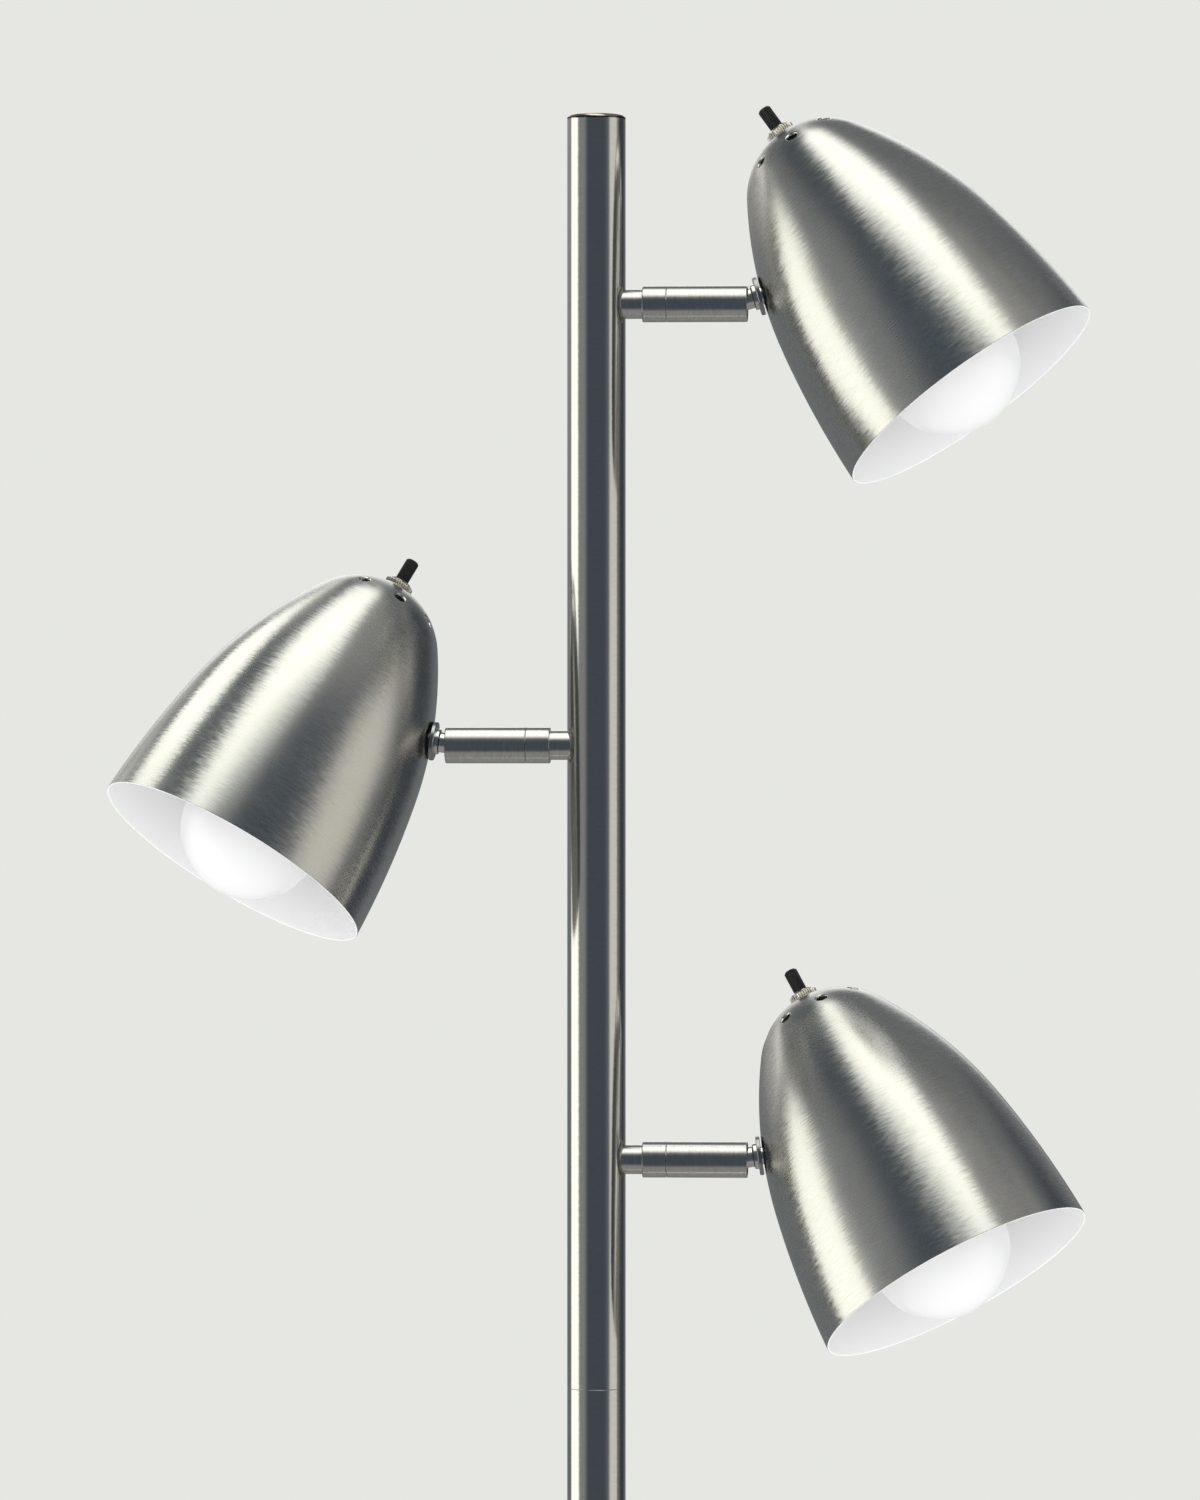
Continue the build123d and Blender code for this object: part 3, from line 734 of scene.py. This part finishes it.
class Vent:
    """One hole through the crown with a rolled outer edge, and the band of crown round it."""

    def __init__(self, mesh, turn, polar, ink_out, ink_in, ink_lip):
        self.mesh, self.turn, self.polar = mesh, turn, polar
        _, out = crown_point(0, polar, turn)
        self.out = Vector(out)
        self.east = Vector((-math.sin(turn), math.cos(turn), 0))
        self.south = self.out.cross(self.east)
        half = math.pi / VENTS
        top = [(-half + 2 * half * i / SECTOR_STEPS, -VENT_BAND) for i in range(SECTOR_STEPS)]
        right = [(half, -VENT_BAND + 2 * VENT_BAND * i / BAND_STEPS) for i in range(BAND_STEPS)]
        bottom = [(-x, -y) for x, y in top]
        left = [(-x, -y) for x, y in right]
        self.border = top + right + bottom + left
        self.angles = [math.atan2(y * CROWN_R, x * CROWN_R * math.sin(polar)) for x, y in self.border]
        self.skirt(0.0, VENT_LIP, 1, ink_out)
        self.skirt(SHADE_WALL, 0.0, -1, ink_in)
        self.lip(ink_lip)

    def on_sphere(self, inset, across, along):
        """The sphere's point straight behind a point of the tangent plane, and its normal."""
        radius = CROWN_R - inset
        flat = self.east * across + self.south * along
        point = flat + self.out * math.sqrt(radius ** 2 - flat.length_squared)
        normal = point.normalized()
        return point + Vector((0, 0, CROWN_R)), normal

    def skirt(self, inset, lip, bend, ink):
        """The crown between the hole and the band's border, outside or inside."""
        start = VENT_R + lip
        rows = []
        for share in SKIRT_SHARES:
            row = []
            for (x, y), angle in zip(self.border, self.angles):
                near, _ = self.on_sphere(inset, start * math.cos(angle), start * math.sin(angle))
                offset = near - Vector((0, 0, CROWN_R))
                near_polar = math.acos(-offset.z / offset.length)
                near_turn = (math.atan2(offset.y, offset.x) - self.turn + math.pi) % math.tau - math.pi
                polar = near_polar + (self.polar + y - near_polar) * share
                turn = self.turn + near_turn + (x - near_turn) * share
                point, out = crown_point(inset, polar, turn)
                row.append((point, tuple(bend * value for value in out), (polar * CROWN_R, turn * POLE_R)))
            rows.append(row)
        self.join(rows, bend > 0, ink)

    def lip(self, ink):
        """The rolled edge and the hole's wall."""
        rows = [self.ring(VENT_R, SHADE_WALL, 0.0, 0.0, 1.0)]
        for step in range(VENT_LIP_STEPS + 1):
            roll = math.pi / 2 * step / VENT_LIP_STEPS
            radius = VENT_R + VENT_LIP * (1 - math.cos(roll))
            sink = VENT_LIP * (1 - math.sin(roll))
            rows.append(self.ring(radius, 0.0, sink, math.sin(roll), math.cos(roll)))
        self.join(rows, True, ink)

    def ring(self, radius, inset, sink, rise, lean):
        """Corners round the hole's axis; rise and lean mix the normal from out and from the axis."""
        row = []
        for angle in self.angles:
            point, normal = self.on_sphere(inset, radius * math.cos(angle), radius * math.sin(angle))
            inward = -(self.east * math.cos(angle) + self.south * math.sin(angle))
            point = point - self.out * sink
            direction = (normal * rise + inward * lean).normalized()
            row.append((tuple(point), tuple(direction), (self.polar * CROWN_R, self.turn * POLE_R)))
        return row

    def join(self, rows, outward, ink):
        """Faces between one row of corners and the next."""
        count = len(self.border)
        for near, far in zip(rows, rows[1:]):
            for i in range(count):
                j = (i + 1) % count
                corners = [near[i], near[j], far[j], far[i]]
                self.mesh.face(corners[::-1] if outward else corners, ink)


def make_shade(head):
    number = head.number
    mesh = Skin()
    segments = VENTS * SECTOR_STEPS
    polar = math.acos(1 - VENT_STATION / CROWN_R)
    half, quarter = math.pi / VENTS, math.pi / 2
    above, below = polar - VENT_BAND, polar + VENT_BAND
    hole_out = math.asin(CROWN_HOLE_R / CROWN_R)
    hole_in = math.asin(CROWN_HOLE_R / (CROWN_R - SHADE_WALL))
    centre = (0, CROWN_R)
    outside = arc(centre, CROWN_R, hole_out - quarter, above - quarter, CROWN_STEPS)
    inside = arc(centre, CROWN_R - SHADE_WALL, above - quarter, hole_in - quarter, CROWN_STEPS, bend=-1)
    mesh.revolve(outside, segments, first_turn=half)
    mesh.revolve(inside + [outside[0]], segments, ink=1, first_turn=half)
    for count in range(VENTS):
        Vent(mesh, 2 * half * count, polar, 0, 1, 2)
    wall = wall_stations(0.0, 1, quarter - below)
    lining = wall_stations(SHADE_WALL, -1, quarter - below)[::-1]
    wall_end, lining_end = wall[-1], lining[0]
    rim = rounded([wall[-2][:2], (wall_end[0], wall_end[1], RIM_EDGE),
                   (lining_end[0], lining_end[1], RIM_EDGE), lining[1][:2]])
    mesh.revolve(wall[:-1] + rim[1:4], segments, first_turn=half)
    mesh.revolve(rim[3:-1] + lining[1:], segments, ink=1, first_turn=half)
    turn = Matrix.Rotation(math.radians(VENT_TURNS[number]), 4, "Z")
    mesh.piece(f"bell_{number}", head.shade @ turn, [shade_nickel, white_enamel, bright_nickel],
               f"head_{number}", "brushed_nickel", [f"shade_{number}"])


# ---------------- switch
def threaded(radius, height, turn):
    """A fine thread on the bushing's side."""
    if radius > BUSHING_R - BUSHING_CHAMFER / 2 and height > BUSHING_TOP + BUSHING_CHAMFER:
        wave = 0.5 + 0.5 * math.cos(math.tau * (height / THREAD_PITCH) + turn)
        return radius - THREAD_DEPTH * wave, height
    return radius, height


def ribbed(outer, groove, count, start=-math.inf):
    """A shape with straight grooves round its outside, below a plain end."""
    def shape(radius, height, turn):
        if height > start and radius > outer - RIB_REACH:
            return radius - groove * (0.5 - 0.5 * math.cos(count * turn)) ** RIB_SHARPNESS, height
        return radius, height
    return shape


def make_bushing(head):
    start, inner = BUSHING_TOP + BUSHING_CHAMFER, BUSHING_R - BUSHING_CHAMFER
    side = [(BUSHING_R, start + THREAD_ROW * row) for row in range(THREAD_ROWS)]
    outline = rounded([(BUSHING_BORE_R, BUSHING_TOP), (inner, BUSHING_TOP)] + side
                      + [(BUSHING_R, BUSHING_END), (BUSHING_BORE_R, BUSHING_END)], closed=True)
    numbered(head, "bushing", outline, head.shade, bright_nickel, "bright_nickel", "switch_bushing",
             segments=72, shape=threaded, crease=40)


def make_ring_nut(head):
    across, along = RING_NUT_CHAMFER
    bore, inner = BUSHING_R + SEAT_GAP, RING_NUT_R - across
    outline = rounded([(bore, RING_NUT_TOP), (inner, RING_NUT_TOP, HAIR_EDGE),
                       (RING_NUT_R, RING_NUT_TOP + along, HAIR_EDGE),
                       (RING_NUT_R, RING_NUT_SEAT - along, HAIR_EDGE),
                       (inner, RING_NUT_SEAT, HAIR_EDGE), (bore, RING_NUT_SEAT)], closed=True, steps=2)
    teeth = ribbed(RING_NUT_R, RING_NUT_GROOVE, RING_NUT_TEETH)
    numbered(head, "crown_nut", outline, head.shade, knurled_nickel, "knurled_nickel", "ring_nut",
             segments=RING_NUT_TEETH * RIB_FACES, shape=teeth, crease=50)


def make_knob(head):
    outline = rounded([(0, KNOB_END), (KNOB_R - KNOB_EDGE, KNOB_END, CRISP_EDGE),
                       (KNOB_R, KNOB_END + KNOB_EDGE, FINE_EDGE), (KNOB_R, KNOB_START, FINE_EDGE),
                       (KNOB_SHAFT_R, KNOB_START), (KNOB_SHAFT_R, KNOB_SHAFT_END), (0, KNOB_SHAFT_END)],
                      steps=3)
    ribs = ribbed(KNOB_R, KNOB_GROOVE, KNOB_RIBS, start=KNOB_END + KNOB_EDGE / 2)
    numbered(head, "turn_knob", outline, head.shade, ribbed_black, "black_plastic", "switch_knob",
             kind="knob", segments=KNOB_RIBS * RIB_FACES, shape=ribs, crease=40)


# ---------------- lampholder and lamp
def make_holder(head):
    bore_top, boss_top = HOLDER_BOSS_TOP
    outline = rounded([(HOLDER_BORE_R, bore_top), (HOLDER_BOSS_R, boss_top), (HOLDER_BOSS_R, HOLDER_TOP),
                       (HOLDER_R, HOLDER_TOP, FULL_EDGE), (HOLDER_R, CUP_START, ROUND_EDGE),
                       (CUP_R, CUP_START + CUP_CONE, CUP_EDGE), (CUP_R, CUP_END, FULL_EDGE),
                       (CUP_BORE_R, CUP_END, BROKEN_EDGE), (CUP_BORE_R, CUP_FLOOR),
                       (HOLDER_BORE_R, CUP_FLOOR)], closed=True)
    numbered(head, "holder", outline, head.shade, phenolic, "black_phenolic", "lampholder")


def make_lamp(head):
    screw, skirt = LAMP_TIP + LAMP_SCREW_START, LAMP_TIP + LAMP_SKIRT_START
    inner, joint = LAMP_NECK[0] - GLOBE_WALL, LAMP_NECK[1] + GLOBE_WALL
    outline = rounded([(0, LAMP_TIP), (LAMP_TIP_R, LAMP_TIP, SOFT_EDGE),
                       (LAMP_TIP_R, LAMP_TIP + LAMP_TIP_HEIGHT),
                       (LAMP_SCREW_R, screw, SOFT_EDGE), (LAMP_SCREW_R, skirt),
                       (LAMP_SKIRT_R, skirt, EASED_EDGE), (inner, joint), (0, joint)])
    numbered(head, "lamp_body", outline, head.shade, lamp_white, "opal_diffuser", "bulb")
    cone_end = (GLOBE_R * math.cos(GLOBE_CONE), GLOBE_STATION - GLOBE_R * math.sin(GLOBE_CONE))
    outline = rounded([(inner, LAMP_NECK[1]), (*LAMP_NECK, ROUND_EDGE), cone_end])
    outline += arc((0, GLOBE_STATION), GLOBE_R, -GLOBE_CONE, math.pi / 2, GLOBE_STEPS)[1:]
    numbered(head, "lamp_globe", outline, head.shade, opal, "opal_diffuser")


# ---------------- inner pieces kept as they are
def dress_inner_nodes():
    finishes = [(cast_iron, ["base_weight"]),
                (zinc, ["base_nut", "base_rod", "pole_couplers", "pole_foot_plug", "arm_nipples",
                        "nipple_nuts"]),
                (nylon, ["friction_washers"])]
    for number in HEADS:
        finishes.append((zinc, [f"neck_nut_{number}", f"knuckle_insert_{number}", f"knuckle_pins_{number}"]))
        finishes.append((brass, [f"socket_contacts_{number}"]))
    for finish, names in finishes:
        for name in names:
            data = nodes[name].data
            data.materials.clear()
            data.materials.append(finish)


# ---------------- studio
def linear(colour):
    """A linear colour from one in 0 to 255 as a screen shows it."""
    return tuple(((c / 255 + 0.055) / 1.055) ** 2.4 for c in colour) + (1.0,)


def on_metal(*colour, gain=1.0):
    """The light that shows as this colour on nickel."""
    return tuple(c * gain / tint for c, tint in zip(linear(colour), NICKEL)) + (1.0,)


BACKGROUND = linear((230, 231, 226))
ROOM = on_metal(95, 97, 97)
LAMP = on_metal(255, 255, 240, gain=1.04)      # just burns out on the metal
FILL_BACK, FILL_FRONT = 1.28, 1.44             # soft light on what isn't metal
FILL_TINT = (1.0, 1.0, 1.01)

# Soft panels round the lamp, each laid over the ones before: azimuth and elevation of its middle,
# half its width and height, its turn and the width of its soft edges, in degrees, and its colour.
# Azimuth 0 is towards the camera and 90 to its right.
PANELS = (
    ("floor", 0, -90, 400, 52, 0, (1, 12), on_metal(123, 122, 118)),
    ("dark arch", -75, 52, 62, 11, -4, (30, 12), on_metal(66, 71, 75)),
    ("right high wall", 60, 54, 34, 12, 0, (24, 12), on_metal(126, 125, 121)),
    ("front left wall", -66, -4, 34, 34, 0, (14, 20), on_metal(118, 119, 117)),
    ("front flag", 4, 4, 42, 46, 0, (24, 24), on_metal(61, 68, 74)),
    ("camera side", 2, 42, 4, 12, 0, (10, 10), on_metal(120, 120, 118)),
    ("right wall", 75, 4, 18, 24, 0, (12, 20), on_metal(192, 188, 177)),
    ("right flag", 126, 2, 17, 34, 0, (20, 12), on_metal(52, 57, 61)),
    ("right strip", 99, 34, 7, 14, -8, (10, 10), on_metal(130, 130, 127)),
    ("left back wall", -137, 14, 30, 11, 0, (14, 14), on_metal(143, 141, 135)),
    ("back light", -176, 20, 17, 12, 0, (8, 8), on_metal(236, 236, 230)),
    ("left back strip", -154, 49, 21, 3, 48, (8, 6), on_metal(190, 189, 181)),
    ("left low lamp", -131, 20, 14, 3, 6, (8, 5), on_metal(206, 205, 196)),
    ("left lamp", -95, -8, 19, 28, 0, (7, 9), LAMP),
    ("left lamp's slant", -79, -16, 13, 30, 31, (7, 9), LAMP),
)


def around(graph):
    """Azimuth and elevation of a direction in degrees, and how far it points to the front."""
    direction = graph.vector("NORMALIZE", graph.add("ShaderNodeTexCoord").outputs["Generated"])
    parts = graph.add("ShaderNodeSeparateXYZ", {0: direction}).outputs
    front = graph.times(parts[1], -1.0)
    azimuth = graph.times(graph.math("ARCTAN2", parts[0], front), 180 / math.pi)
    elevation = graph.times(graph.math("ARCSINE", parts[2]), 180 / math.pi)
    return azimuth, elevation, front


def window(graph, value, half, soft):
    """1 within half of zero, with soft edges."""
    reach = graph.math("ABSOLUTE", value)
    return graph.step(reach, half + soft / 2, half - soft / 2)


def turned_by(graph, right, up, turn):
    """Two coordinates in axes turned by an angle."""
    c, s = math.cos(turn), math.sin(turn)
    return (graph.plus(graph.times(right, c), graph.times(up, s)),
            graph.math("SUBTRACT", graph.times(up, c), graph.times(right, s)))


def make_world():
    world = bpy.data.worlds.new("studio")
    bpy.context.scene.world = world
    world.use_nodes = True
    world.cycles.sampling_method = "NONE"
    graph = Graph(world.node_tree)
    azimuth, elevation, front = around(graph)
    colour = ROOM
    for _, middle, height, half_w, half_h, turn, soft, shown in PANELS:
        right = graph.math("WRAP", graph.math("SUBTRACT", azimuth, float(middle)), 180.0, -180.0)
        up = graph.math("SUBTRACT", elevation, float(height))
        wide, high = turned_by(graph, right, up, math.radians(turn))
        mask = graph.times(window(graph, wide, half_w, soft[0]), window(graph, high, half_h, soft[1]))
        colour = graph.blend(mask, colour, shown)
    fill = graph.between(front, FILL_BACK, FILL_FRONT, start=-1.0)
    soft_light = graph.vector("SCALE", FILL_TINT, scale=fill)
    rays = graph.add("ShaderNodeLightPath").outputs
    light = graph.blend(rays["Is Glossy Ray"], soft_light, colour)
    light = graph.blend(rays["Is Camera Ray"], light, BACKGROUND)
    shader = graph.add("ShaderNodeBackground", {"Color": light})
    graph.add("ShaderNodeOutputWorld", {0: shader.outputs[0]})


def soft_lamp(name, shape, size, place, facing, receivers):
    """A lamp that shines in reflections only, and only in those of its receivers."""
    data = bpy.data.lights.new(name, "AREA")
    data.shape = shape
    data.size, data.size_y = size
    area = size[0] * size[1] * (math.pi / 4 if shape == "ELLIPSE" else 1.0)
    brightest = max(LAMP[:3])
    data.color = [channel / brightest for channel in LAMP[:3]]
    data.energy = brightest * math.pi * area
    lamp = bpy.data.objects.new(name, data)
    bpy.context.scene.collection.objects.link(lamp)
    lamp.location = place
    lamp.rotation_euler = facing
    lamp.visible_camera = lamp.visible_diffuse = False
    lit = bpy.data.collections.new(f"{name}_lit")
    for receiver in receivers:
        lit.objects.link(receiver)
    lamp.light_linking.receiver_collection = lit
    return data


# The overhead soft boxes, as sides: the direction across each side, aside and ahead, how far out it
# lies and how soft it is. All are slopes, metres aside or ahead for each metre above the middle.
OVERHEAD_RISE = 6.0
OVERHEAD_MIDDLE, OVERHEAD_SIZE = (0.2, 0.42), (1.5, 1.95)
RIGHT_SIDES = ((-1.0, 0.0, 0.38, 0.2),
               (0.81, -0.58, 0.116, 0.22),
               (-0.64, 0.77, 0.65, 0.7),
               (0.0, -1.0, 0.44, 0.2))
LEFT_SIDES = ((-1.0, 0.0, 0.33, 0.2),
              (0.9, -0.43, 0.27, 0.22),
              (-0.64, 0.77, 0.57, 0.7),
              (0.0, -1.0, 0.44, 0.2))

# The lamp behind and to the left, seen from the left shade, in metres.
BACK_LAMP_SIZE = (2.45, 1.35)
BACK_LAMP_AWAY = 3.0
BACK_LAMP_AZIMUTH, BACK_LAMP_ELEVATION = math.radians(-123), math.radians(44.5)


def lamp_overhead(name, mirror, sides, middle, receivers):
    """A soft box overhead, mirrored for the left shade."""
    place = Vector((OVERHEAD_MIDDLE[0] * mirror, -OVERHEAD_MIDDLE[1], 1.0)) * OVERHEAD_RISE
    size = [length * OVERHEAD_RISE for length in OVERHEAD_SIZE]
    data = soft_lamp(name, "RECTANGLE", size, middle + place, (0, 0, 0), receivers)
    data.use_nodes = True
    graph = Graph(data.node_tree)
    spot = graph.vector("SUBTRACT", graph.add("ShaderNodeNewGeometry").outputs["Position"], tuple(middle))
    parts = graph.add("ShaderNodeSeparateXYZ", {0: spot}).outputs
    aside = graph.times(parts[0], mirror / OVERHEAD_RISE)
    ahead = graph.times(parts[1], -1 / OVERHEAD_RISE)
    mask = 1.0
    for right, front, edge, soft in sides:
        way = graph.plus(graph.times(aside, right), graph.times(ahead, front))
        mask = graph.times(mask, graph.step(way, edge + soft / 2, edge - soft / 2))
    shine = graph.add("ShaderNodeEmission", {"Strength": mask})
    graph.add("ShaderNodeOutputLight", {0: shine.outputs[0]})


def make_lamps():
    """The lamps that the metal shows; the left shade has two of its own."""
    left = bpy.data.objects["bell_2"]
    others = [piece for piece in bpy.data.objects if piece.type == "MESH" and piece != left]
    middle = {head.number: head.shade @ Vector((0, 0, SHADE_LENGTH / 2 * MM)) for head in heads}
    lamp_overhead("overhead_right", 1, RIGHT_SIDES, (middle[1] + middle[3]) / 2, others)
    lamp_overhead("overhead_left", -1, LEFT_SIDES, middle[2], [left])

    level = math.cos(BACK_LAMP_ELEVATION)
    way = Vector((level * math.sin(BACK_LAMP_AZIMUTH), -level * math.cos(BACK_LAMP_AZIMUTH),
                  math.sin(BACK_LAMP_ELEVATION)))
    facing = way.to_track_quat("Z", "Y").to_euler()
    soft_lamp("left_back", "ELLIPSE", BACK_LAMP_SIZE, middle[2] + way * BACK_LAMP_AWAY, facing, [left])


FLOOR_FADE = (0.9, 2.4)   # from the pole, in metres
FLOOR_TONES = ((0.585, 0.59, 0.572, 1), (0.60, 0.605, 0.587, 1))


def make_floor():
    """A pale disc that fades into the background."""
    bpy.ops.mesh.primitive_circle_add(vertices=128, radius=FLOOR_FADE[1] + 0.1, fill_type="NGON")
    disc = bpy.context.object
    disc.name = "studio_floor"
    made = bpy.data.materials.new("pale_floor")
    made.use_nodes = True
    graph = Graph(made.node_tree)
    spot = graph.add("ShaderNodeTexCoord").outputs["Object"]
    tone = graph.blend(graph.noise(spot, 3.0), *FLOOR_TONES)
    paper = graph.add("ShaderNodeBsdfDiffuse", {"Color": tone}).outputs[0]
    clear = graph.add("ShaderNodeBsdfTransparent").outputs[0]
    fade = graph.step(graph.length(spot), *FLOOR_FADE)
    mixed = graph.add("ShaderNodeMixShader", {0: fade, 1: paper, 2: clear})
    graph.add("ShaderNodeOutputMaterial", {0: mixed.outputs[0]})
    disc.data.materials.append(made)
    disc.visible_glossy = disc.visible_diffuse = False


CAMERA_PLACE = (0.2251, -3.3925, 1.3427)       # metres
CAMERA_TURN = math.radians(3.77)               # to the left, level
CAMERA_LENS = 187.455                          # millimetres, on a sensor 36 wide


def make_camera():
    data = bpy.data.cameras.new("camera")
    data.lens = CAMERA_LENS
    data.sensor_width = 36.0
    data.clip_end = 100.0
    camera = bpy.data.objects.new("camera", data)
    bpy.context.scene.collection.objects.link(camera)
    camera.location = CAMERA_PLACE
    camera.rotation_euler = (math.radians(90), 0, CAMERA_TURN)
    bpy.context.scene.camera = camera


make_cover_and_pad()
make_foot_collar()
make_inlet()
make_pole()
for head in heads:
    make_arm(head)
    make_neck(head)
    make_shade(head)
    make_bushing(head)
    make_ring_nut(head)
    make_knob(head)
    make_holder(head)
    make_lamp(head)
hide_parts("arm_stubs")
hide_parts("arm_collars")
dress_inner_nodes()
make_world()
make_lamps()
make_floor()
make_camera()
bpy.context.scene.view_settings.view_transform = "Standard"
